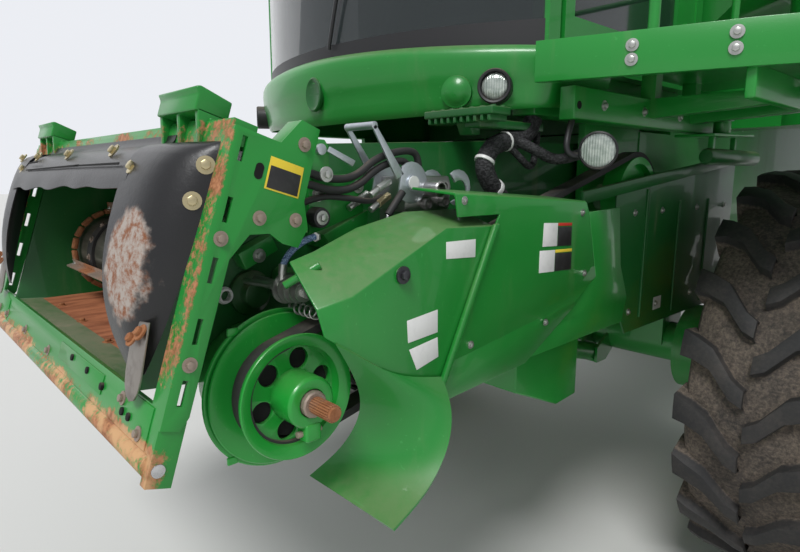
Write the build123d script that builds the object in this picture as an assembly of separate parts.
from build123d import *
import os
from math import asin, atan2, cos, degrees, hypot, radians, sin

# Combine harvester, full size, in millimetres.
# X points to the machine's left, Y to its rear and Z up, with the ground at Z = 0.
# A place along the machine is written s: its distance behind the front axle.
# The feeder house stands raised, as it does when the machine is parked to change headers.

os.makedirs("parts", exist_ok=True)

# Rear reach of the folded auger, and the fits used everywhere
REAR_REACH = 6900.0
GAP = 0.3
RUNNING_GAP = 8.0

# A length beyond the machine's reach each way, for cutting tools
FAR = 9000.0

# Front wheels, a pair on each side
FRONT_TYRE_R = 965.0
FRONT_TYRE_W = 520.0
FRONT_RIM_R = 545.0
INNER_WHEEL_X = 1500.0
OUTER_WHEEL_X = 2200.0
FRONT_LUGS = 22
FRONT_LUG_H = 52.0
FRONT_AXLE_Z = 963.0
FRONT_SPINDLE_R = 70.0
FRONT_HUB_R = 190.0
FINAL_DRIVE_X = 1205.0

# Rear wheels and steering
WHEELBASE = 3600.0
REAR_TYRE_R = 740.0
REAR_TYRE_W = 500.0
REAR_RIM_R = 360.0
REAR_WHEEL_X = 1450.0
REAR_LUGS = 18
REAR_LUG_H = 42.0
REAR_AXLE_Z = 738.0
KINGPIN_X = 1060.0
KINGPIN_R = 45.0
FORK_L = 110.0
REAR_SPINDLE_R = 50.0
REAR_HUB_R = 130.0

# Separator body and chassis
BODY_HALF_W = 780.0
CHEEK_INNER_X = 745.0
CHEEK_T = 30.0
BODY_LOW_Z = 1210.0
BODY_FRONT_S = -450.0
BODY_TOP_Z = 2500.0
BODY_REAR_S = 4750.0

# Feeder house, raised: the front frame leans back by FEEDER_TILT
FEEDER_TILT = 17.8
LIP_S = -2917.0
LIP_Z = 1363.5
PIVOT_S = -800.0
PIVOT_Z = 1800.0
PIVOT_R = 60.0
HOUSING_HALF_W = 710.0
HOUSING_WALL = 14.0
HOUSING_END_R = 262.0
HOUSING_TOE_S = -2600.0
HOUSING_TOE_Z = 1345.0
HOUSING_HEEL_S = -900.0
HOUSING_HEEL_Z = 1500.0
UPPER_SHAFT_X = 965.0
DRUM_U = 322.0
DRUM_R = 150.0

# Front frame, in its own upright frame: b is behind the front edge, u is above the foot
FRAME_HALF_W = 950.0
FRAME_H = 683.0
SIDE_PLATE_T = 12.0
RAIL_BASE_U = 643.0
RAIL_H = 56.0
RAIL_D = 60.0
HOOK_X = 684.0
HOOK_W = 118.0
HOOK_H = 122.0
THROAT_SILL_U = 40.0
LATCH_TUBE_B = 20.0
LATCH_TUBE_U = -88.0
LATCH_TUBE_R = 30.0
LATCH_EAR_DROP = 40.0
SLOT_US = (84.0, 222.0, 360.0, 498.0, 638.0)
SLOT_L = 58.0
SLOT_W = 13.0

# The machine is centred on Y = 0 between the latch ears' lower edge and the auger's end
FRONT_REACH = (LATCH_EAR_DROP - LATCH_TUBE_U) * sin(radians(FEEDER_TILT)) - LIP_S
AXLE_Y = (FRONT_REACH - REAR_REACH) / 2

# Feeder drive on the left side
DRIVE_B = 325.0
DRIVE_U = 97.0
SHEAVE_X = 970.0
SHEAVE_R = 162.0
BACK_DISC_X = 868.0
BACK_DISC_R = 208.0
BELT_W = 62.0
BELT_T = 22.0
HUB_X = 1035.0
HUB_R = 66.0
SPLINE_X = 1120.0
SPLINE_R = 21.0
UPPER_SHEAVE_R = 190.0

# Shields over the drive
SHIELD_X = 1100.0
SHIELD_T = 8.0
SCOOP_X = 1180.0
SCOOP_R = 345.0

# Lift cylinders under the feeder house
LIFT_X = 450.0
LIFT_BARREL_R = 52.0
LIFT_ROD_R = 32.0
LIFT_FOOT_S = -190.0
LIFT_FOOT_Z = 850.0
LIFT_EYE_S = -1700.0
LIFT_EYE_Z = 1285.0
LIFT_BARREL_L = 900.0
LIFT_BORE_FROM = 95.0
LIFT_ROD_FROM = 600.0
LIFT_PIN_R = 26.0
LIFT_EYE_R = 55.0
LIFT_EYE_SLACK = 12.0
LIFT_EYE_HALF_W = 40.0
LIFT_EAR_T = 16.0

# Cab
CAB_HALF_W = 930.0
CAB_REAR_S = -200.0
CAB_CORNER_S = -1500.0
CAB_NOSE_S = -1800.0
CAB_FLOOR_Z = 2300.0
CAB_FLOOR_T = 50.0
CAB_TOP_Z = 3660.0
CAB_ROOF_T = 230.0
POST_W = 70.0
GLASS_T = 8.0
SKIRT_BASE_Z = 2100.0
SKIRT_T = 45.0
DOOR_FRONT_S = -1400.0
DOOR_REAR_S = -420.0
DOOR_T = 40.0

# Platform, rails and ladder on the left
DECK_Z = 2335.0
DECK_T = 30.0
DECK_IN_X = 975.0
DECK_OUT_X = 1900.0
DECK_FRONT_S = -1640.0
DECK_REAR_S = -200.0
FASCIA_H = 130.0
RAIL_TUBE_R = 17.0
RAIL_BAR_R = 14.0
RAIL_H_UP = 900.0
LADDER_PIN_X = 1975.0
LADDER_X = 2025.0
LADDER_W = 430.0
LADDER_S = -1230.0
LADDER_FOOT_Z = 420.0
LADDER_STEPS = 6

# Grain tank and its lids
TANK_FRONT_S = -90.0
TANK_REAR_S = 2330.0
TANK_LEFT_X = 1120.0
TANK_RIGHT_X = -1400.0
TANK_TOP_Z = 3560.0
TANK_SHOULDER_Z = 2800.0
TANK_WALL = 20.0
LID_T = 30.0
HINGE_R = 8.0
HINGE_EYE_R = 14.0

# Unloading auger
AUGER_X = 1350.0
AUGER_S = 350.0
AUGER_Z = 3060.0
AUGER_R = 170.0
AUGER_POST_R = 190.0
AUGER_POST_BASE_Z = 2150.0
SPOUT_L = 420.0
SPOUT_DROP = 420.0

# Engine deck and rear hood
DECK_BOX_FRONT_S = 2400.0
DECK_BOX_REAR_S = 4150.0
DECK_BOX_TOP_Z = 3050.0
DECK_BOX_LEFT_X = 1090.0
DECK_BOX_RIGHT_X = -1330.0
DECK_BOX_WALL = 25.0
HOOD_HALF_W = 1000.0
HOOD_WALL = 25.0

# Hinged side panels
PANEL_X = 1500.0
PANEL_T = 30.0
PANEL_TOP_Z = 2720.0
PANEL_LOW_Z = 1360.0
PANEL_ARCH_Z = 1610.0
PANEL_FRONT_S = 1160.0
PANEL_REAR_S = 4250.0
PANEL_HINGE_X = 1450.0
PANEL_HINGE_Z = 2700.0
PANEL_HINGES = (1400.0, 2650.0, 4000.0)


def block(x0, x1, s0, s1, z0, z1):
    """Box between two places on each axis, with s measured behind the front axle."""
    size = Box(x1 - x0, s1 - s0, z1 - z0)
    return Pos((x0 + x1) / 2, AXLE_Y + (s0 + s1) / 2, (z0 + z1) / 2) * size


def side_shape(points, x0, x1):
    """Plate or block with its outline drawn in side view as (s, z) points."""
    outline = Polyline(*[(x0, AXLE_Y + s, z) for s, z in points], close=True)
    return Solid.extrude(make_face(outline).face(), Vector(x1 - x0, 0, 0))


def plan_shape(points, z0, z1):
    """Plate or block with its outline drawn from above as (x, s) points."""
    outline = Polyline(*[(x, AXLE_Y + s, z0) for x, s in points], close=True)
    return Solid.extrude(make_face(outline).face(), Vector(0, 0, z1 - z0))


def end_shape(points, s0, s1):
    """Plate or block with its outline drawn from the front as (x, z) points."""
    outline = Polyline(*[(x, AXLE_Y + s0, z) for x, z in points], close=True)
    return Solid.extrude(make_face(outline).face(), Vector(0, s1 - s0, 0))


def rod(start, end, radius):
    """Round bar between two (x, s, z) points."""
    base = Vector(start[0], AXLE_Y + start[1], start[2])
    tip = Vector(end[0], AXLE_Y + end[1], end[2])
    plane = Plane(origin=base, z_dir=tip - base)
    return plane * Cylinder(radius, (tip - base).length, align=(Align.CENTER, Align.CENTER, Align.MIN))


def cross_bar(x0, x1, s, z, radius):
    """Round bar along X."""
    return rod((x0, s, z), (x1, s, z), radius)


def ring(x0, x1, s, z, outer, inner):
    """Tube along X."""
    return cross_bar(x0, x1, s, z, outer) - cross_bar(x0 - 1, x1 + 1, s, z, inner)


def both_sides(shape):
    """A shape and its mirror image across the machine's middle plane."""
    return shape + mirror(shape, Plane.YZ)


def mirrored(shape):
    """The mirror image of a shape across the machine's middle plane."""
    return mirror(shape, Plane.YZ)


def joined(shapes):
    """All shapes of a list as one shape."""
    total = shapes[0]
    for shape in shapes[1:]:
        total = total + shape
    return total


def on_front(shape):
    """Move a shape from the front frame's own upright frame to its raised place."""
    return Pos(0, AXLE_Y + LIP_S, LIP_Z) * Rot(-FEEDER_TILT, 0, 0) * shape


def front_point(b, u):
    """Place (s, z) of a point that lies b behind and u above the front frame's foot."""
    tilt = radians(FEEDER_TILT)
    return LIP_S + b * cos(tilt) + u * sin(tilt), LIP_Z - b * sin(tilt) + u * cos(tilt)


def front_block(x0, x1, b0, b1, u0, u1):
    """Box in the front frame's own directions."""
    size = Box(x1 - x0, b1 - b0, u1 - u0)
    return on_front(Pos((x0 + x1) / 2, (b0 + b1) / 2, (u0 + u1) / 2) * size)


def front_side_shape(points, x0, x1):
    """Plate in the front frame's directions, its outline given as (b, u) points."""
    outline = Polyline(*[(x0, b, u) for b, u in points], close=True)
    return on_front(Solid.extrude(make_face(outline).face(), Vector(x1 - x0, 0, 0)))


def wheel_turned(profile, x_mid, s, z):
    """Ring turned about the wheel's axle from a profile of (x, r) points."""
    outline = Polyline(*[(x, 0, r) for x, r in profile], close=True)
    turned = revolve(make_face(outline), axis=Axis.X)
    return Pos(x_mid, AXLE_Y + s, z) * turned


def tyre(radius, width, rim_r, lugs, lug_h, bottom_phase):
    """Tyre about the X axis with chevron lugs; the middle of each chevron leads."""
    half = width / 2
    base_r = radius - lug_h
    wall_r = (base_r + rim_r) / 2
    carcass = [
        (-0.40 * width, rim_r), (-0.49 * width, wall_r), (-0.46 * width, base_r - 0.05 * width),
        (-0.40 * width, base_r), (0.40 * width, base_r), (0.46 * width, base_r - 0.05 * width),
        (0.49 * width, wall_r), (0.40 * width, rim_r),
    ]
    body = revolve(make_face(Polyline(*[(x, 0, r) for x, r in carcass], close=True)), axis=Axis.X)
    envelope_profile = [(-half, 0.8 * radius), (-half, radius - 0.6 * lug_h), (-0.36 * width, radius),
                        (0.36 * width, radius), (half, radius - 0.6 * lug_h), (half, 0.8 * radius)]
    envelope = revolve(make_face(Polyline(*[(x, 0, r) for x, r in envelope_profile], close=True)), axis=Axis.X)
    pitch = 360.0 / lugs
    reach = 0.38 * width
    root_r = base_r - 0.07 * width
    bars = []
    for side, offset in ((1, 0.25), (-1, -0.25)):
        # columns: distance from the tyre's middle, distance along the tread
        footprint = [(0.012 * width, reach * 0.5 + 0.06 * width), (0.012 * width, reach * 0.5 - 0.05 * width),
                     (half, -reach * 0.5 - 0.075 * width), (half, -reach * 0.5 + 0.075 * width)]
        outline = Polyline(*[(side * x, -t, root_r) for x, t in footprint], close=True)
        bar = Solid.extrude(make_face(outline).face(), Vector(0, 0, radius - root_r + 40))
        for k in range(lugs):
            bars.append(Rot(pitch * (k + offset) + bottom_phase, 0, 0) * bar)
    treads = [envelope & bar for bar in bars]
    return body.fuse(*[piece for tread in treads for piece in tread.solids()])


def front_wheel_pair():
    """Tyres and rims of the left pair of front wheels."""
    one = tyre(FRONT_TYRE_R, FRONT_TYRE_W, FRONT_RIM_R, FRONT_LUGS, FRONT_LUG_H, 180.0)
    tyres = [Pos(x, AXLE_Y, FRONT_AXLE_Z) * one for x in (INNER_WHEEL_X, OUTER_WHEEL_X)]
    rims = []
    barrel = 0.40 * FRONT_TYRE_W
    for x, dish in ((INNER_WHEEL_X, -60), (OUTER_WHEEL_X, 60)):
        profile = [(-barrel, FRONT_RIM_R - GAP), (barrel, FRONT_RIM_R - GAP), (barrel, FRONT_RIM_R - 34),
                   (dish + 16, FRONT_RIM_R - 50), (dish + 60, FRONT_HUB_R + 60), (dish + 60, FRONT_SPINDLE_R + GAP),
                   (dish - 20, FRONT_SPINDLE_R + GAP), (dish - 20, FRONT_HUB_R + 60), (dish - 4, FRONT_HUB_R + 90),
                   (dish - 16, FRONT_RIM_R - 50), (-barrel, FRONT_RIM_R - 34)]
        rims.append(wheel_turned(profile, x, 0, FRONT_AXLE_Z))
    spacer = ring(INNER_WHEEL_X, OUTER_WHEEL_X + 50, 0, FRONT_AXLE_Z, FRONT_HUB_R, FRONT_SPINDLE_R + GAP)
    cap = cross_bar(OUTER_WHEEL_X + 50, OUTER_WHEEL_X + 150, 0, FRONT_AXLE_Z, 120)
    hub = ring(FINAL_DRIVE_X + RUNNING_GAP, INNER_WHEEL_X, 0, FRONT_AXLE_Z, FRONT_HUB_R, FRONT_SPINDLE_R + GAP)
    return tyres[0] + tyres[1], joined(rims + [spacer, cap, hub])


def rear_wheel():
    """Tyre and rim of the left rear wheel."""
    one = tyre(REAR_TYRE_R, REAR_TYRE_W, REAR_RIM_R, REAR_LUGS, REAR_LUG_H, 180.0)
    rubber = Pos(REAR_WHEEL_X, AXLE_Y + WHEELBASE, REAR_AXLE_Z) * one
    barrel = 0.40 * REAR_TYRE_W
    profile = [(-barrel, REAR_RIM_R - GAP), (barrel, REAR_RIM_R - GAP), (barrel, REAR_RIM_R - 28),
               (50, REAR_RIM_R - 40), (10, REAR_HUB_R + 40), (10, REAR_SPINDLE_R + GAP),
               (-120, REAR_SPINDLE_R + GAP), (-120, REAR_HUB_R), (-20, REAR_HUB_R + 40),
               (24, REAR_RIM_R - 40), (-barrel, REAR_RIM_R - 28)]
    rim = wheel_turned(profile, REAR_WHEEL_X, WHEELBASE, REAR_AXLE_Z)
    cap = cross_bar(REAR_WHEEL_X + 10, REAR_WHEEL_X + 70, WHEELBASE, REAR_AXLE_Z, 80)
    return rubber, rim + cap


def front_axle():
    """Transmission, axle tubes, final drives and the saddles that carry the body."""
    pieces = [cross_bar(-300, 300, 0, FRONT_AXLE_Z, 210), cross_bar(-1000, 1000, 0, FRONT_AXLE_Z, 110)]
    for side in (-1, 1):
        pieces.append(cross_bar(side * 930, side * FINAL_DRIVE_X, 0, FRONT_AXLE_Z, 230))
        pieces.append(cross_bar(side * FINAL_DRIVE_X, side * (OUTER_WHEEL_X + 40), 0, FRONT_AXLE_Z, FRONT_SPINDLE_R))
        pieces.append(block(side * 740 - 90, side * 740 + 90, -120, 120, FRONT_AXLE_Z, BODY_LOW_Z))
    for side in (-1, 1):
        for edge in (-1, 1):
            x = side * LIFT_X + edge * (LIFT_EYE_HALF_W + 6 + LIFT_EAR_T / 2)
            ear = side_shape([(LIFT_FOOT_S - 45, LIFT_FOOT_Z - 45), (LIFT_FOOT_S + 60, LIFT_FOOT_Z - 45),
                              (0, FRONT_AXLE_Z - 60), (0, FRONT_AXLE_Z + 60), (LIFT_FOOT_S - 45, LIFT_FOOT_Z + 45)],
                             x - LIFT_EAR_T / 2, x + LIFT_EAR_T / 2)
            pieces.append(ear)
        half = LIFT_EYE_HALF_W + 6 + LIFT_EAR_T
        pieces.append(cross_bar(side * LIFT_X - half, side * LIFT_X + half, LIFT_FOOT_S, LIFT_FOOT_Z, LIFT_PIN_R))
    return joined(pieces)


def chassis_frame():
    """Side cheeks that carry the feeder pivot and cab, long rails and cross members."""
    cheek = side_shape([(-960, 1560), (-960, 2120), (BODY_FRONT_S, 2120), (BODY_FRONT_S, BODY_LOW_Z),
                        (-560, BODY_LOW_Z), (-640, 1500)], CHEEK_INNER_X, CHEEK_INNER_X + CHEEK_T)
    cheek = cheek - cross_bar(0, 2000, PIVOT_S, PIVOT_Z, PIVOT_R + GAP)
    rail = block(500, 640, 300, WHEELBASE + 250, BODY_LOW_Z - 150, BODY_LOW_Z)
    return both_sides(cheek), both_sides(rail)


def separator_body():
    """Threshing and cleaning body, a closed case with sloping underside."""
    outline = [(BODY_FRONT_S, BODY_LOW_Z), (BODY_FRONT_S, 2110), (TANK_FRONT_S - 10, 2110),
               (TANK_FRONT_S - 10, BODY_TOP_Z), (4350, BODY_TOP_Z), (BODY_REAR_S, 2200), (BODY_REAR_S, 1640),
               (2850, 1560), (2600, BODY_LOW_Z)]
    return side_shape(outline, -BODY_HALF_W, BODY_HALF_W)


def cab_plan(grow, front_grow):
    """Outline of the cab from above, grown outwards, as a face at Z = 0."""
    half = CAB_HALF_W + grow
    corner = AXLE_Y + CAB_CORNER_S
    back = AXLE_Y + CAB_REAR_S + grow
    nose = AXLE_Y + CAB_NOSE_S - front_grow
    edges = [Line((-half, corner), (-half, back)), Line((-half, back), (half, back)),
             Line((half, back), (half, corner)), ThreePointArc((half, corner), (0, nose), (-half, corner))]
    return make_face(Wire(edges))


def cab_layer(grow, front_grow, z0, z1):
    """Slab with the cab's outline between two heights."""
    return Pos(0, 0, z0) * extrude(cab_plan(grow, front_grow), amount=z1 - z0)


def cab():
    """Cab shell split where its panels meet."""
    parts = {}
    parts["cab_floor"] = cab_layer(0, 0, CAB_FLOOR_Z, CAB_FLOOR_Z + CAB_FLOOR_T)
    skirt = cab_layer(30, 40, SKIRT_BASE_Z, CAB_FLOOR_Z) - cab_layer(30 - SKIRT_T, 40 - SKIRT_T, 0, 9000)
    skirt = skirt - block(-3000, 3000, -1150, 3000, 0, 9000)
    parts["cab_skirt"] = skirt
    base = cab_layer(-60, -60, 2120, CAB_FLOOR_Z) - block(-3000, 3000, -3000, -1480, 0, 9000)
    parts["cab_base_frame"] = base - cab_layer(-160, -160, 0, 9000)
    low = CAB_FLOOR_Z + CAB_FLOOR_T
    post_spots = [(CAB_HALF_W - POST_W / 2, CAB_CORNER_S + POST_W / 2),
                  (CAB_HALF_W - POST_W / 2, CAB_REAR_S - POST_W / 2)]
    posts = [block(x - POST_W / 2, x + POST_W / 2, s - POST_W / 2, s + POST_W / 2, low, CAB_TOP_Z)
             for x, s in post_spots]
    top_ring = cab_layer(0, 0, CAB_TOP_Z - POST_W, CAB_TOP_Z) - cab_layer(-POST_W, -POST_W, 0, 9000)
    parts["cab_frame"] = joined([both_sides(post) for post in posts] + [top_ring])
    parts["cab_roof"] = cab_layer(60, 160, CAB_TOP_Z, CAB_TOP_Z + CAB_ROOF_T)
    glass_top = CAB_TOP_Z - POST_W
    shell = cab_layer(-20, -20, low, glass_top) - cab_layer(-20 - GLASS_T, -20 - GLASS_T, 0, 9000)
    parts["windshield"] = shell & block(-CAB_HALF_W, CAB_HALF_W, -3000, CAB_CORNER_S, 0, 9000)
    rear = block(-CAB_HALF_W + POST_W, CAB_HALF_W - POST_W, CAB_REAR_S - 50, CAB_REAR_S - 20, low, glass_top)
    window = block(-600, 600, CAB_REAR_S - 60, CAB_REAR_S, low + 500, glass_top - 100)
    rear_wall = rear - window
    rear_glass = block(-600, 600, CAB_REAR_S - 40, CAB_REAR_S - 40 + GLASS_T, low + 500, glass_top - 100)
    side_x = CAB_HALF_W - 10
    right_glass = block(-side_x, -side_x + GLASS_T, CAB_CORNER_S + POST_W, CAB_REAR_S - POST_W, low, glass_top)
    parts["cab_glass"] = rear_glass + right_glass
    quarter = block(side_x - 30, side_x, DOOR_REAR_S + RUNNING_GAP, CAB_REAR_S - POST_W, low, glass_top)
    door = block(CAB_HALF_W - DOOR_T, CAB_HALF_W, DOOR_FRONT_S, DOOR_REAR_S, low + 8, glass_top - 8)
    hole = block(CAB_HALF_W - 100, CAB_HALF_W + 50, DOOR_FRONT_S + 60, DOOR_REAR_S - 60, low + 120, glass_top - 70)
    hinge_x = CAB_HALF_W + HINGE_EYE_R - 2
    hinge_s = DOOR_REAR_S + 12
    leaves = [door - hole]
    for z in (low + 180, low + 980):
        eye = rod((hinge_x, hinge_s, z), (hinge_x, hinge_s, z + 50), HINGE_EYE_R)
        arm = block(CAB_HALF_W - 10, CAB_HALF_W + 10, DOOR_REAR_S - 60, hinge_s - 10, z, z + 50)
        leaves.append(eye + arm - rod((hinge_x, hinge_s, z - 1), (hinge_x, hinge_s, z + 51), HINGE_R + GAP))
        pin = rod((hinge_x, hinge_s, z - 16), (hinge_x, hinge_s, z + 66), HINGE_R)
        ears = [block(side_x - 10, hinge_x + HINGE_R, hinge_s - HINGE_R, DOOR_REAR_S + 40, e, e + 14)
                for e in (z - 16, z + 52)]
        quarter = joined([quarter, pin] + ears)
    parts["cab_rear_wall"] = rear_wall + quarter
    parts["cab_door"] = joined(leaves)
    parts["cab_door_glass"] = block(CAB_HALF_W - 24, CAB_HALF_W - 24 + GLASS_T, DOOR_FRONT_S + 60, DOOR_REAR_S - 60,
                                    low + 120, glass_top - 70)
    cushion = block(-260, 260, -1000, -500, low + 330, low + 450)
    back = block(-250, 250, -500, -380, low + 460, low + 1080)
    seat_box = block(-200, 200, -940, -560, low, low + 330 - GAP)
    heel = block(-60, 60, -560, -400, low + 200, low + 330 - GAP)
    seat_base = joined([seat_box, heel, block(-60, 60, -440, -400, low + 330 - GAP, low + 460 - GAP)])
    parts["seat_cushion"] = cushion
    parts["seat_back"] = back
    console = block(-560, -330, -1150, -500, low, low + 560)
    column = rod((0, -1480, low + 40), (0, -1300, low + 620), 40) + block(-80, 80, -1560, -1420, low, low + 70)
    wheel_plane = Plane(origin=(0, AXLE_Y - 1290, low + 660), z_dir=(0, 0.35, 0.94))
    wheel = wheel_plane * Torus(190, 14)
    spoke = wheel_plane * Box(370, 40, 14)
    hub = rod((0, -1310, low + 590), (0, -1283, low + 675), 45)
    steering = joined([column, wheel, spoke, hub])
    parts["cab_controls"] = steering + console + seat_base
    return parts


def platform():
    """Operator's platform with its deck, fascia, rails and side ladder."""
    parts = {}
    edge = [(DECK_IN_X, DECK_FRONT_S), (1570, DECK_FRONT_S + 190), (DECK_OUT_X, DECK_FRONT_S + 330),
            (DECK_OUT_X, DECK_REAR_S), (DECK_IN_X, DECK_REAR_S)]
    deck = plan_shape(edge, DECK_Z - DECK_T, DECK_Z)
    rim = plan_shape(edge, DECK_Z - FASCIA_H, DECK_Z)
    inner = [(DECK_IN_X - 50, DECK_FRONT_S + 25), (1570, DECK_FRONT_S + 215), (DECK_OUT_X - 12, DECK_FRONT_S + 345),
             (DECK_OUT_X - 12, DECK_REAR_S + 50), (DECK_IN_X - 50, DECK_REAR_S + 50)]
    rim = rim - plan_shape(inner, 0, DECK_Z)
    brackets = [end_shape([(CAB_HALF_W - 60, 2125), (CAB_HALF_W - 60, 2205), (1700, 2205), (1700, 2165),
                           (DECK_IN_X, 2125)], s - 30, s + 30)
                for s in (-900, -500)]
    legs = [block(1000, 1060, s - 30, s + 30, 2204, DECK_Z - DECK_T) for s in (-900, -500)]
    legs += [block(1640, 1700, s - 30, s + 30, 2204, DECK_Z - DECK_T) for s in (-900, -500)]
    parts["platform_deck"] = joined([deck, rim] + brackets + legs)
    top = DECK_Z + RAIL_H_UP
    # columns: x, s of each post
    posts = [(1300, DECK_FRONT_S + 140), (DECK_OUT_X - 60, DECK_FRONT_S + 360)]
    rails = [rod((x, s, DECK_Z), (x, s, top + RAIL_TUBE_R), RAIL_TUBE_R) for x, s in posts]
    for height in (DECK_Z + RAIL_H_UP / 2, top):
        rails.append(rod((*posts[0], height), (*posts[1], height), RAIL_BAR_R))
    rear_posts = [(DECK_OUT_X - 60, -700), (DECK_OUT_X - 60, DECK_REAR_S - 60), (1100, DECK_REAR_S - 60)]
    rails += [rod((x, s, DECK_Z), (x, s, top + RAIL_TUBE_R), RAIL_TUBE_R) for x, s in rear_posts]
    for height in (DECK_Z + RAIL_H_UP / 2, top):
        for a, b in zip(rear_posts, rear_posts[1:]):
            rails.append(rod((*a, height), (*b, height), RAIL_BAR_R))
    parts["platform_rails"] = joined(rails)
    x0, x1 = LADDER_X, LADDER_X + LADDER_W
    ladder = []
    for x in (x0 + 15, x1 - 15):
        ladder.append(block(x - 15, x + 15, LADDER_S - 50, LADDER_S + 50, LADDER_FOOT_Z, DECK_Z - 20))
    for k in range(LADDER_STEPS):
        z = LADDER_FOOT_Z + 20 + k * (DECK_Z - LADDER_FOOT_Z - 60) / (LADDER_STEPS - 1)
        ladder.append(block(x0 + 30, x1 - 30, LADDER_S - 70, LADDER_S + 70, z, z + 30))
    barrel = rod((LADDER_PIN_X, LADDER_S, DECK_Z - 120), (LADDER_PIN_X, LADDER_S, DECK_Z - 30), 28)
    arm = block(LADDER_PIN_X, x0 + 15, LADDER_S - 20, LADDER_S + 20, DECK_Z - 110, DECK_Z - 40)
    bore = rod((LADDER_PIN_X, LADDER_S, 0), (LADDER_PIN_X, LADDER_S, FAR), 12 + GAP)
    parts["ladder"] = joined(ladder + [barrel, arm]) - bore
    pin = rod((LADDER_PIN_X, LADDER_S, DECK_Z - 145), (LADDER_PIN_X, LADDER_S, DECK_Z - 5), 12)
    ears = [block(DECK_OUT_X, LADDER_PIN_X + 20, LADDER_S - 30, LADDER_S + 30, z, z + 14)
            for z in (DECK_Z - 145, DECK_Z - 19)]
    parts["platform_deck"] = joined([parts["platform_deck"], pin] + ears)
    return parts


def front_frame():
    """Front frame of the feeder house: side plates, top rail, hooks, sill and latch tube."""
    # columns: b behind the front edge, u above the foot
    outline = [(0, 0), (0, FRAME_H), (118, FRAME_H), (158, 753), (213, 749), (217, 569), (245, 509),
               (230, 457), (186, 457), (146, 472), (96, 457), (62, 391), (59, 32), (45, 0)]
    plate = front_side_shape(outline, FRAME_HALF_W - SIDE_PLATE_T, FRAME_HALF_W)
    flange = front_block(FRAME_HALF_W - 70, FRAME_HALF_W - SIDE_PLATE_T, 0, 10, 0, FRAME_H)
    slots = [front_block(FRAME_HALF_W - 40, FRAME_HALF_W + 10, 30 - SLOT_W / 2, 30 + SLOT_W / 2,
                         u - SLOT_L / 2, u + SLOT_L / 2) for u in SLOT_US]
    side = joined([plate, flange]) - joined(slots)
    rail = front_block(-FRAME_HALF_W + SIDE_PLATE_T, FRAME_HALF_W - SIDE_PLATE_T, 0, RAIL_D,
                       RAIL_BASE_U, RAIL_BASE_U + RAIL_H)
    hooks = []
    for side_sign in (-1, 1):
        x0 = side_sign * HOOK_X - HOOK_W
        hook = front_side_shape([(20, RAIL_BASE_U + RAIL_H), (RAIL_D, RAIL_BASE_U + RAIL_H),
                                 (RAIL_D + 6, RAIL_BASE_U + RAIL_H + HOOK_H - 20),
                                 (20, RAIL_BASE_U + RAIL_H + HOOK_H)], x0, x0 + 2 * HOOK_W)
        hooks.append(hook)
    sill = front_block(-FRAME_HALF_W + SIDE_PLATE_T, FRAME_HALF_W - SIDE_PLATE_T, 0, 14, -62, THROAT_SILL_U)
    tube = front_tube(-FRAME_HALF_W + 30, FRAME_HALF_W - 30, LATCH_TUBE_B, LATCH_TUBE_U, LATCH_TUBE_R)
    ears = [front_block(side_sign * 930 - 14, side_sign * 930 + 14, 0, 59, LATCH_TUBE_U - LATCH_EAR_DROP, 20)
            for side_sign in (-1, 1)]
    web = front_block(HOUSING_HALF_W, FRAME_HALF_W - SIDE_PLATE_T, 70, 80, 480, FRAME_H - 2)
    return joined([both_sides(side), rail, sill, tube, both_sides(web)] + hooks + ears)


def front_tube(x0, x1, b, u, radius):
    """Round bar along X in the front frame."""
    s, z = front_point(b, u)
    return cross_bar(x0, x1, s, z, radius)


def feeder_housing():
    """Feeder house: floor, roof and side walls as one open throat."""
    s0, z0 = front_point(14, THROAT_SILL_U - 20)
    s1, z1 = front_point(14, RAIL_BASE_U - 50)
    s2, z2 = front_point(RAIL_D + 4, RAIL_BASE_U - 4)
    outer = [(s0, z0), (s1, z1), (s2, z2), (-2500, 1985), (-1500, 2030), (PIVOT_S, PIVOT_Z + HOUSING_END_R - 20),
             (PIVOT_S + 120, PIVOT_Z + HOUSING_END_R - 60), (PIVOT_S + 120, PIVOT_Z - 240),
             (HOUSING_HEEL_S, HOUSING_HEEL_Z), (HOUSING_TOE_S, HOUSING_TOE_Z)]
    inner = [(s0 - 90, z0 + HOUSING_WALL), (s1 - 90, z1 - HOUSING_WALL), (s2, z2 - HOUSING_WALL),
             (-2500, 1985 - HOUSING_WALL),
             (-1500, 2030 - HOUSING_WALL), (PIVOT_S, PIVOT_Z + HOUSING_END_R - 20 - HOUSING_WALL),
             (PIVOT_S + 400, PIVOT_Z + HOUSING_END_R - 80 - HOUSING_WALL),
             (PIVOT_S + 400, PIVOT_Z - 240 + HOUSING_WALL), (HOUSING_HEEL_S, HOUSING_HEEL_Z + HOUSING_WALL),
             (HOUSING_TOE_S, HOUSING_TOE_Z + HOUSING_WALL)]
    shell = side_shape(outer, -HOUSING_HALF_W, HOUSING_HALF_W)
    shell = shell - side_shape(inner, -HOUSING_HALF_W + HOUSING_WALL, HOUSING_HALF_W - HOUSING_WALL)
    pivots = [cross_bar(-CHEEK_INNER_X - CHEEK_T - 15, -HOUSING_HALF_W + HOUSING_WALL, PIVOT_S, PIVOT_Z, PIVOT_R),
              cross_bar(HOUSING_HALF_W - HOUSING_WALL, UPPER_SHAFT_X, PIVOT_S, PIVOT_Z, PIVOT_R)]
    return joined([shell, lift_ears()] + pivots)


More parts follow.
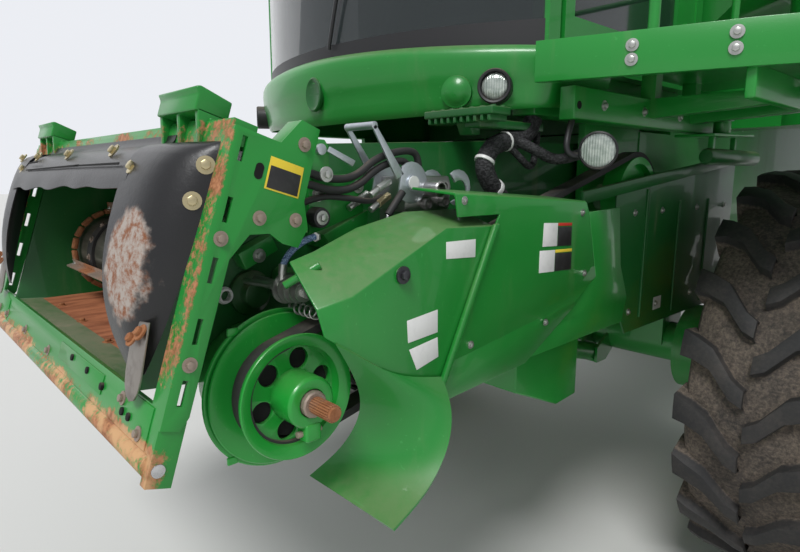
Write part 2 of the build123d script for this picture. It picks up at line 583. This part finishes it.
def lift_ears():
    """Ears under the feeder house that hold the rods' pins."""
    pieces = []
    half = LIFT_EYE_HALF_W + 6
    for side in (-1, 1):
        x = side * LIFT_X
        for x0 in (x - half - LIFT_EAR_T, x + half):
            pieces.append(side_shape([(LIFT_EYE_S - 35, LIFT_EYE_Z - 40), (LIFT_EYE_S + 35, LIFT_EYE_Z - 40),
                                      (LIFT_EYE_S + 90, housing_floor_z(LIFT_EYE_S + 90)),
                                      (LIFT_EYE_S - 90, housing_floor_z(LIFT_EYE_S - 90))], x0, x0 + LIFT_EAR_T))
        pieces.append(cross_bar(x - half - LIFT_EAR_T, x + half + LIFT_EAR_T, LIFT_EYE_S, LIFT_EYE_Z, LIFT_PIN_R))
    return joined(pieces)


def housing_floor_z(s):
    """Height of the feeder house's underside at a place along the machine."""
    return HOUSING_TOE_Z + (s - HOUSING_TOE_S) * (HOUSING_HEEL_Z - HOUSING_TOE_Z) / (HOUSING_HEEL_S - HOUSING_TOE_S)


def feeder_drum():
    """Front drum with its end flanges, on a cross shaft."""
    s, z = front_point(DRIVE_B, DRUM_U)
    drum = cross_bar(-660, 660, s, z, DRUM_R)
    rings = [cross_bar(x - 6, x + 6, s, z, DRUM_R + 28) for x in (-420, 0, 420)]
    shaft = cross_bar(-HOUSING_HALF_W + HOUSING_WALL, HOUSING_HALF_W - HOUSING_WALL, s, z, 30)
    return joined([drum, shaft] + rings)


def drive():
    """Sheave pair, belt and drive head on the left of the feeder house."""
    parts = {}
    s, z = front_point(DRIVE_B, DRIVE_U)
    sheave = joined([cross_bar(SHEAVE_X - 20, SHEAVE_X, s, z, SHEAVE_R), cross_bar(BACK_DISC_X, BACK_DISC_X + 16, s, z,
                    BACK_DISC_R), cross_bar(BACK_DISC_X, SHEAVE_X, s, z, SHEAVE_R - 70)])
    bore = cross_bar(BACK_DISC_X - 5, SHEAVE_X + 5, s, z, 45)
    parts["drive_sheave"] = sheave - bore
    shaft = joined([cross_bar(HOUSING_HALF_W, HUB_X, s, z, 44.7), cross_bar(SHEAVE_X + 1, HUB_X, s, z, HUB_R),
                    cross_bar(HUB_X, SPLINE_X, s, z, SPLINE_R),
                    cross_bar(HOUSING_HALF_W, HOUSING_HALF_W + 90, s, z, 150)])
    parts["drive_head"] = shaft
    reach = hypot(PIVOT_S - s, PIVOT_Z - z)
    belt_r = SHEAVE_R - 30
    turn = degrees(atan2(PIVOT_Z - z, PIVOT_S - s))
    outer = belt_loop(s, z, belt_r + BELT_T / 2, UPPER_SHEAVE_R + BELT_T / 2, reach, turn)
    inner = belt_loop(s, z, belt_r - BELT_T / 2, UPPER_SHEAVE_R - BELT_T / 2, reach, turn)
    belt_x = (BACK_DISC_X + 16 + SHEAVE_X - 20) / 2
    belt = extrude(outer, amount=BELT_W, dir=(1, 0, 0)) - extrude(inner, amount=BELT_W, dir=(1, 0, 0))
    parts["drive_belt"] = Pos(belt_x - BELT_W / 2, 0, 0) * belt
    upper = ring(belt_x - 40, belt_x + 40, PIVOT_S, PIVOT_Z, UPPER_SHEAVE_R - BELT_T / 2 - GAP, PIVOT_R + GAP)
    parts["drive_sheaves"] = parts.pop("drive_sheave") + upper
    return parts


def belt_loop(s, z, r0, r1, reach, turn):
    """Face round two pulleys, at X = 0, the first at (s, z) and the second along its turn."""
    lean = asin((r1 - r0) / reach)
    up = (-sin(lean), cos(lean))
    down = (-sin(lean), -cos(lean))
    a0 = (r0 * up[0], r0 * up[1])
    a1 = (reach + r1 * up[0], r1 * up[1])
    b0 = (r0 * down[0], r0 * down[1])
    b1 = (reach + r1 * down[0], r1 * down[1])
    edges = [Line(a0, a1), ThreePointArc(a1, (reach + r1, 0), b1), Line(b1, b0), ThreePointArc(b0, (-r0, 0), a0)]
    plane = Plane(origin=(0, AXLE_Y + s, z), x_dir=(0, cos(radians(turn)), sin(radians(turn))), z_dir=(1, 0, 0))
    return plane * make_face(Wire(edges))


def shields():
    """Side shields over the feeder drive, with the curled scoop at the sheave."""
    parts = {}
    s, z = front_point(DRIVE_B, DRIVE_U)
    # columns: s, z of the front shield's corners
    front = [(-2620, 1735), (-2506, 1720), (-2307, 1787), (-1950, 1770), (-2190, 1300), (-2320, 1380),
             (-2590, 1520)]
    panel = side_shape(front, SHIELD_X - SHIELD_T, SHIELD_X)
    sweep = [(s + SCOOP_R * cos(radians(a)), z + SCOOP_R * sin(radians(a))) for a in range(15, -100, -15)]
    inner = [(s + (SCOOP_R - SHIELD_T) * cos(radians(a)), z + (SCOOP_R - SHIELD_T) * sin(radians(a)))
             for a in range(15, -100, -15)]
    scoop = side_shape(sweep + inner[::-1], 860, SCOOP_X)
    scoop = scoop - block(800, 1000, s - 500, s + 500, z - 160, z + 500)
    top = side_shape([(-2506, 1712), (-2307, 1779), (-1950, 1762), (-1950, 1770), (-2307, 1787), (-2506, 1720)],
                     915, SHIELD_X)
    tie = cross_bar(HOUSING_HALF_W, SHIELD_X - SHIELD_T, -2300, 1700, 14)
    parts["front_shield"] = joined([panel, scoop, top, tie])
    rear = [(-2180, 1290), (-1938, 1775), (-1938, 1830), (-1466, 1830), (-1000, 2040), (-640, 2010), (-560, 1780),
            (-680, 1560), (-1386, 1480), (-1700, 1295), (-2140, 1241)]
    parts["rear_shield"] = side_shape(rear, SHIELD_X - SHIELD_T, SHIELD_X)
    ties = [cross_bar(HOUSING_HALF_W, SHIELD_X - SHIELD_T, ss, zz, 14) for ss, zz in ((-1900, 1540), (-1500, 1620))]
    parts["rear_shield"] = joined([parts["rear_shield"]] + ties)
    guard = side_shape([(-1660, 1290), (-1240, 1290), (-1240, 1010), (-1380, 1000), (-1660, 1120)],
                       HOUSING_HALF_W, 960)
    arm = side_shape([(-1560, 1280), (-1400, 1280), (-1400, 1560), (-1560, 1560)], HOUSING_HALF_W, HOUSING_HALF_W + 14)
    parts["gear_guard"] = guard + arm
    return parts


def lift_cylinders():
    """Two lift cylinders: barrels hinged on the axle, rods pinned under the feeder house."""
    run = hypot(LIFT_EYE_S - LIFT_FOOT_S, LIFT_EYE_Z - LIFT_FOOT_Z)
    ds = (LIFT_EYE_S - LIFT_FOOT_S) / run
    dz = (LIFT_EYE_Z - LIFT_FOOT_Z) / run
    start = (LIFT_X, LIFT_FOOT_S, LIFT_FOOT_Z)
    eye = (LIFT_X, LIFT_EYE_S, LIFT_EYE_Z)
    x0, x1 = LIFT_X - LIFT_EYE_HALF_W, LIFT_X + LIFT_EYE_HALF_W

    def along(distance):
        return LIFT_X, LIFT_FOOT_S + ds * distance, LIFT_FOOT_Z + dz * distance

    barrel = rod(start, along(LIFT_BARREL_L), LIFT_BARREL_R)
    barrel = barrel & block(x0, x1, -3000, 0, 0, 3000)
    barrel = rod(along(LIFT_BORE_FROM - 25), along(LIFT_BARREL_L), LIFT_BARREL_R) + barrel
    barrel = barrel + cross_bar(x0, x1, LIFT_FOOT_S, LIFT_FOOT_Z, LIFT_EYE_R)
    barrel = barrel - rod(along(LIFT_BORE_FROM), eye, LIFT_ROD_R + GAP)
    barrel = barrel - cross_bar(x0 - 20, x1 + 20, LIFT_FOOT_S, LIFT_FOOT_Z, LIFT_PIN_R + GAP)
    piston = rod(along(LIFT_ROD_FROM), eye, LIFT_ROD_R) + cross_bar(x0, x1, LIFT_EYE_S, LIFT_EYE_Z, LIFT_EYE_R)
    piston = piston - cross_bar(x0 - 20, x1 + 20, LIFT_EYE_S, LIFT_EYE_Z, LIFT_PIN_R + LIFT_EYE_SLACK)
    return both_sides(barrel), both_sides(piston)


def multicoupler():
    """Coupler block with its lever and hooks at the feeder's left shoulder."""
    body = block(760, 900, -2110, -1905, 1796, 1896)
    stand = block(HOUSING_HALF_W, 800, -2060, -1960, 1760, 1797)
    arms = [rod((830, s, 1890), (830, s - 95, 2045), 9) for s in (-2075, -1930)]
    bar = rod((830, -2170, 2045), (830, -2025, 2045), 9)
    discs = [cross_bar(800, 860, s, 1890, 45) for s in (-2105, -1915)]
    return joined([body, stand, bar] + arms + discs)


def grain_tank():
    """Open-topped tank with sloping lower sides, and its two folding lids."""
    outer = [(TANK_RIGHT_X, TANK_TOP_Z), (TANK_RIGHT_X, TANK_SHOULDER_Z), (-BODY_HALF_W, BODY_TOP_Z),
             (BODY_HALF_W, BODY_TOP_Z), (TANK_LEFT_X, TANK_SHOULDER_Z), (TANK_LEFT_X, TANK_TOP_Z)]
    w = TANK_WALL
    inner = [(TANK_RIGHT_X + w, TANK_TOP_Z + 10), (TANK_RIGHT_X + w, TANK_SHOULDER_Z + w / 2),
             (-BODY_HALF_W + w / 2, BODY_TOP_Z + w), (BODY_HALF_W - w / 2, BODY_TOP_Z + w),
             (TANK_LEFT_X - w, TANK_SHOULDER_Z + w / 2), (TANK_LEFT_X - w, TANK_TOP_Z + 10)]
    tank = end_shape(outer, TANK_FRONT_S, TANK_REAR_S) - end_shape(inner, TANK_FRONT_S + w, TANK_REAR_S - w)
    middle = (TANK_LEFT_X + TANK_RIGHT_X) / 2
    z = TANK_TOP_Z + GAP
    left = block(middle + 4, TANK_LEFT_X - 8, TANK_FRONT_S, TANK_REAR_S, z, z + LID_T)
    right = block(TANK_RIGHT_X + 8, middle - 4, TANK_FRONT_S, TANK_REAR_S, z, z + LID_T)
    lids = []
    for edge, out, lid in ((TANK_LEFT_X, 1, left), (TANK_RIGHT_X, -1, right)):
        x = edge + out * (HINGE_EYE_R + 2)
        for s in (TANK_FRONT_S + 300, TANK_REAR_S - 350):
            eye = rod((x, s, TANK_TOP_Z + LID_T / 2), (x, s + 50, TANK_TOP_Z + LID_T / 2), HINGE_EYE_R)
            arm = block(min(edge - out * 20, x), max(edge - out * 20, x), s, s + 50, z + 4, z + LID_T - 4)
            hole = rod((x, s - 1, TANK_TOP_Z + LID_T / 2), (x, s + 51, TANK_TOP_Z + LID_T / 2), HINGE_R + GAP)
            lid = lid + (eye + arm - hole)
            pin = rod((x, s - 16, TANK_TOP_Z + LID_T / 2), (x, s + 66, TANK_TOP_Z + LID_T / 2), HINGE_R)
            ears = [block(min(edge, x + out * HINGE_R), max(edge, x + out * HINGE_R), e, e + 14,
                          TANK_TOP_Z - 70, TANK_TOP_Z + LID_T / 2 + HINGE_R) for e in (s - 16, s + 52)]
            ears = [ear - block(min(edge - out * 50, edge), max(edge - out * 50, edge), -9000, 9000, 0, 9000)
                    for ear in ears]
            tank = joined([tank, pin] + ears)
        lids.append(lid)
    return tank, lids[0], lids[1]


def unloading_auger():
    """Lower post on the body, and the swinging tube with its spout."""
    post = rod((AUGER_X, AUGER_S, AUGER_POST_BASE_Z), (AUGER_X, AUGER_S, AUGER_Z - AUGER_R - 30), AUGER_POST_R)
    carrier = block(BODY_HALF_W, AUGER_X, AUGER_S - 120, AUGER_S + 120, AUGER_POST_BASE_Z, AUGER_POST_BASE_Z + 220)
    elbow = rod((AUGER_X, AUGER_S, AUGER_Z - AUGER_R - 30 + GAP), (AUGER_X, AUGER_S, AUGER_Z + AUGER_R), AUGER_POST_R)
    tube = rod((AUGER_X, AUGER_S, AUGER_Z), (AUGER_X, REAR_REACH - SPOUT_L, AUGER_Z), AUGER_R)
    spout = side_shape([(REAR_REACH - SPOUT_L, AUGER_Z - AUGER_R), (REAR_REACH - SPOUT_L, AUGER_Z + AUGER_R),
                        (REAR_REACH - 100, AUGER_Z + AUGER_R), (REAR_REACH, AUGER_Z + 20),
                        (REAR_REACH, AUGER_Z - SPOUT_DROP), (REAR_REACH - 330, AUGER_Z - SPOUT_DROP)],
                       AUGER_X - AUGER_R, AUGER_X + AUGER_R)
    hollow = side_shape([(REAR_REACH - SPOUT_L + 60, AUGER_Z + AUGER_R - 20), (REAR_REACH - 110, AUGER_Z + AUGER_R - 20),
                         (REAR_REACH - 20, AUGER_Z), (REAR_REACH - 20, AUGER_Z - SPOUT_DROP - 20),
                         (REAR_REACH - 310, AUGER_Z - SPOUT_DROP - 20), (REAR_REACH - SPOUT_L + 60, AUGER_Z - AUGER_R)],
                        AUGER_X - AUGER_R + 12, AUGER_X + AUGER_R - 12)
    cradle = block(DECK_BOX_LEFT_X, AUGER_X + 40, 3700, 3760, 2700, AUGER_Z - AUGER_R - 6)
    return joined([post, carrier]), joined([elbow, tube]), spout - hollow, cradle


def engine_bay():
    """Deck box, engine block, exhaust and cooling screen."""
    parts = {}
    w = DECK_BOX_WALL
    box = block(DECK_BOX_RIGHT_X, DECK_BOX_LEFT_X, DECK_BOX_FRONT_S, DECK_BOX_REAR_S, BODY_TOP_Z, DECK_BOX_TOP_Z)
    room = block(DECK_BOX_RIGHT_X + w, DECK_BOX_LEFT_X - w, DECK_BOX_FRONT_S + w, DECK_BOX_REAR_S - w,
                 BODY_TOP_Z + w, DECK_BOX_TOP_Z - w)
    parts["engine_deck"] = box - room
    parts["engine_block"] = block(-400, 400, 2700, 3700, BODY_TOP_Z + w, DECK_BOX_TOP_Z - w - 40)
    screen = cross_bar(DECK_BOX_RIGHT_X - 90, DECK_BOX_RIGHT_X, 3250, 2790, 235)
    parts["cooling_screen"] = screen
    pipe = rod((700, 2650, DECK_BOX_TOP_Z), (700, 2650, 3700), 70) + rod((700, 2650, 3690), (700, 2720, 3800), 62)
    parts["exhaust"] = pipe
    return parts


def rear_hood():
    """Rear hood over the straw outlet, and the chopper below it."""
    outline = [(DECK_BOX_REAR_S, 3000), (4700, 2960), (5300, 2350), (5380, 1850), (5250, 1700),
               (BODY_REAR_S, 1700), (BODY_REAR_S, 2200), (4350, BODY_TOP_Z), (DECK_BOX_REAR_S, BODY_TOP_Z)]
    w = HOOD_WALL
    hollow = [(4690, 2960 - w), (5300 - w, 2340), (5380 - w, 1855), (5250 - w, 1680), (BODY_REAR_S - 40, 1680),
              (BODY_REAR_S - 40, 2300), (4360, 2480)]
    hood = side_shape(outline, -HOOD_HALF_W, HOOD_HALF_W) - side_shape(hollow, -HOOD_HALF_W + w, HOOD_HALF_W - w)
    chopper = side_shape([(BODY_REAR_S, 1640), (5180, 1640), (5330, 1420), (5330, 1100), (5180, 1000), (4900, 1060),
                          (BODY_REAR_S, 1300)], -700, 700)
    return hood, chopper


def side_panel():
    """Hinged left side panel with the arch over the rear wheel."""
    outline = [(PANEL_FRONT_S, PANEL_TOP_Z), (PANEL_REAR_S, PANEL_TOP_Z), (PANEL_REAR_S + 60, PANEL_ARCH_Z + 30),
               (2900, PANEL_ARCH_Z), (2700, PANEL_LOW_Z), (PANEL_FRONT_S + 60, PANEL_LOW_Z), (PANEL_FRONT_S, 1700)]
    pieces = [side_shape(outline, PANEL_X - PANEL_T, PANEL_X)]
    for s in PANEL_HINGES:
        eye = rod((PANEL_HINGE_X, s - 25, PANEL_HINGE_Z), (PANEL_HINGE_X, s + 25, PANEL_HINGE_Z), HINGE_EYE_R)
        arm = block(PANEL_HINGE_X, PANEL_X - PANEL_T + 5, s - 25, s + 25, PANEL_HINGE_Z - 8, PANEL_HINGE_Z + 8)
        pieces.append(eye + arm)
    holes = [rod((PANEL_HINGE_X, s - 26, PANEL_HINGE_Z), (PANEL_HINGE_X, s + 26, PANEL_HINGE_Z), HINGE_R + GAP)
             for s in PANEL_HINGES]
    return joined(pieces) - joined(holes)


def panel_frame():
    """Brackets that carry the hinged side panel from the body."""
    pieces = []
    for s in PANEL_HINGES:
        pieces.append(rod((PANEL_HINGE_X, s - 42, PANEL_HINGE_Z), (PANEL_HINGE_X, s + 42, PANEL_HINGE_Z), HINGE_R))
        for s0 in (s - 42, s + 28):
            out = PANEL_HINGE_X + HINGE_R
            pieces.append(end_shape([(BODY_HALF_W, BODY_TOP_Z - 5), (BODY_HALF_W, BODY_TOP_Z - 100),
                                     (out - 70, BODY_TOP_Z - 70), (out, PANEL_HINGE_Z - 90),
                                     (out, PANEL_HINGE_Z + HINGE_R), (out - 65, PANEL_HINGE_Z + HINGE_R),
                                     (out - 110, BODY_TOP_Z - 5)], s0, s0 + 14))
    return both_sides(joined(pieces))


def body_under_z(s):
    """Height of the body's sloping underside over the rear axle."""
    return 1560 + (s - 2850) * (1640 - 1560) / (BODY_REAR_S - 2850)


def rear_axle():
    """Rear beam with its forks and kingpins, its stand and the uprights to the body."""
    z = REAR_AXLE_Z
    pieces = [block(-KINGPIN_X + FORK_L, KINGPIN_X - FORK_L, WHEELBASE - 90, WHEELBASE + 90, z - 100, z + 100),
              block(-200, 200, WHEELBASE - 160, WHEELBASE + 160, z + 100, BODY_LOW_Z - 150),
              block(-500, 500, WHEELBASE - 160, WHEELBASE + 160, BODY_LOW_Z - 150, BODY_LOW_Z)]
    fork = joined([block(KINGPIN_X - FORK_L - 20, KINGPIN_X + 65, WHEELBASE - 70, WHEELBASE + 70, base, base + 60)
                   for base in (z - 125, z + 65)])
    kingpin = rod((KINGPIN_X, WHEELBASE, z - 125), (KINGPIN_X, WHEELBASE, z + 125), KINGPIN_R)
    pieces += [both_sides(fork), both_sides(kingpin)]
    front, back = WHEELBASE - 120, WHEELBASE + 120
    upright = side_shape([(front, BODY_LOW_Z), (back, BODY_LOW_Z), (back, body_under_z(back)),
                          (front, body_under_z(front))], 560, 640)
    return joined(pieces), both_sides(upright)


def knuckle():
    """Left knuckle on its kingpin with the wheel spindle and steering arm."""
    z = REAR_AXLE_Z
    body = rod((KINGPIN_X, WHEELBASE, z - 59), (KINGPIN_X, WHEELBASE, z + 59), 80)
    arm = block(KINGPIN_X - 20, KINGPIN_X + 40, WHEELBASE, WHEELBASE + 220, z - 20, z + 20)
    spindle = cross_bar(KINGPIN_X + 50, REAR_WHEEL_X + 5, WHEELBASE, z, REAR_SPINDLE_R)
    bore = rod((KINGPIN_X, WHEELBASE, z - 100), (KINGPIN_X, WHEELBASE, z + 100), KINGPIN_R + GAP)
    return joined([body, arm, spindle]) - bore


nodes = {}
tyres, rims = front_wheel_pair()
nodes["front_tyres_left"] = tyres
nodes["front_rims_left"] = rims
nodes["front_tyres_right"] = mirrored(tyres)
nodes["front_rims_right"] = mirrored(rims)
rubber, rim = rear_wheel()
nodes["rear_tyre_left"] = rubber
nodes["rear_rim_left"] = rim
nodes["rear_tyre_right"] = mirrored(rubber)
nodes["rear_rim_right"] = mirrored(rim)
nodes["front_axle"] = front_axle()
cheeks, rails = chassis_frame()
beam, uprights = rear_axle()
nodes["chassis_frame"] = cheeks + rails + uprights
nodes["separator_body"] = separator_body()
nodes.update(cab())
nodes.update(platform())
nodes["front_frame"] = front_frame()
nodes["feeder_housing"] = feeder_housing()
nodes["feeder_drum"] = feeder_drum()
nodes.update(drive())
nodes.update(shields())
nodes["lift_barrels"], nodes["lift_rods"] = lift_cylinders()
nodes["multicoupler"] = multicoupler()
nodes["grain_tank"], nodes["tank_lid_left"], nodes["tank_lid_right"] = grain_tank()
nodes["auger_post"], nodes["auger_tube"], nodes["auger_spout"], cradle = unloading_auger()
nodes.update(engine_bay())
nodes["engine_deck"] = nodes["engine_deck"] + cradle
nodes["rear_hood"], nodes["straw_chopper"] = rear_hood()
nodes["side_panel_left"] = side_panel()
nodes["side_panel_right"] = mirrored(side_panel())
nodes["panel_brackets"] = panel_frame()
nodes["rear_axle"] = beam
nodes["knuckle_left"] = knuckle()
nodes["knuckle_right"] = mirrored(knuckle())

for name, shape in nodes.items():
    export_step(shape, f"parts/{name}.step")
